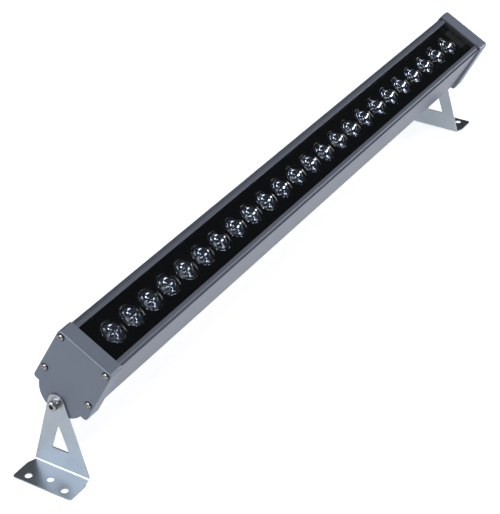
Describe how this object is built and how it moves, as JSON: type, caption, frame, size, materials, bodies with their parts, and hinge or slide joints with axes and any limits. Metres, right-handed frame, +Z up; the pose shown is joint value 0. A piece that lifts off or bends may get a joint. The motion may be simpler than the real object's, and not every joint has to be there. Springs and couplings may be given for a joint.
{
  "type": "outdoor wall washer light",
  "caption": "Slim outdoor wall washer bar: a long grey aluminium housing with a row of lenses behind a black window, tilting between two bent sheet-metal feet.",
  "frame": {"origin": "centre of the four outer foot holes, on the mounting surface under the feet", "axes": "+X along the bar towards the end with the cable gland, +Z up out of the mounting surface; the front face leans towards -Y"},
  "size_m": [1.088, 0.1256, 0.2068],
  "materials": {
    "housing_paint": "fine silver-grey powder coat on the extrusion",
    "cap_paint": "fine silver-grey powder coat on cast aluminium",
    "black_rubber": "matt silicone rubber",
    "screw_steel": "bright stainless steel",
    "window_glass": "clear toughened glass",
    "tray_black": "satin black moulded sheet",
    "lens_clear": "clear acrylic optics",
    "holder_black": "black moulded plastic",
    "board_white": "white solder mask on an aluminium board",
    "led_yellow": "phosphor under a clear dome",
    "connector_grey": "dark grey moulded plastic",
    "link_white": "white moulded plastic",
    "wire_red": "silicone-insulated wire",
    "driver_metal": "mill-finish aluminium",
    "board_green": "green glass-fibre board",
    "transformer_core": "ferrite core with yellow tape",
    "capacitor_sleeve": "shrink sleeve",
    "terminal_green": "green moulded plastic",
    "gland_black": "black nylon",
    "bracket_steel": "stainless sheet, brushed along its length",
    "bolt_steel": "plain stainless steel",
    "friction_black": "black nylon"
  },
  "bodies": {
    "left_foot": {"left_bracket": "bracket_steel"},
    "light_bar": {"housing_extrusion": "housing_paint", "left_end_cap": "cap_paint", "right_end_cap": "cap_paint", "left_cap_gasket": "black_rubber", "right_cap_gasket": "black_rubber", "left_cap_screws": "screw_steel", "right_cap_screws": "screw_steel", "left_cap_washers": "black_rubber", "right_cap_washers": "black_rubber", "front_glass": "window_glass", "glass_seals": "black_rubber", "lens_tray": "tray_black", "lenses": "lens_clear", "lens_holders": "holder_black", "led_boards": "board_white", "leds": "led_yellow", "board_screws": "screw_steel", "board_connector": "connector_grey", "board_link": "link_white", "led_wires": "wire_red", "driver_case": "driver_metal", "driver_cover": "driver_metal", "driver_board": "board_green", "driver_transformer": "transformer_core", "driver_capacitors": "capacitor_sleeve", "driver_terminals": "terminal_green", "driver_board_screws": "screw_steel", "driver_mount_screws": "screw_steel", "gland_body": "gland_black", "gland_locknut": "gland_black", "gland_washer": "black_rubber", "gland_seal": "black_rubber", "gland_dome_nut": "gland_black", "left_pivot_bolt": "bolt_steel", "right_pivot_bolt": "bolt_steel", "left_pivot_washer": "bolt_steel", "right_pivot_washer": "bolt_steel", "left_friction_washer": "friction_black", "right_friction_washer": "friction_black"},
    "right_foot": {"right_bracket": "bracket_steel"}
  },
  "joints": [
    {"name": "tilt", "type": "hinge", "parent": "left_foot", "child": "light_bar", "pos_m": [-0.5, 0, 0.101], "axis": [1, 0, 0], "range_deg": [-118.5, 61.5]},
    {"name": "right_pivot", "type": "hinge", "parent": "light_bar", "child": "right_foot", "pos_m": [0.5, 0, 0.101], "axis": [1, 0, 0], "range_deg": [-61.5, 118.5]}
  ],
  "couplings": [
    {"joint": "right_pivot", "follows": "tilt", "ratio": -1}
  ]
}
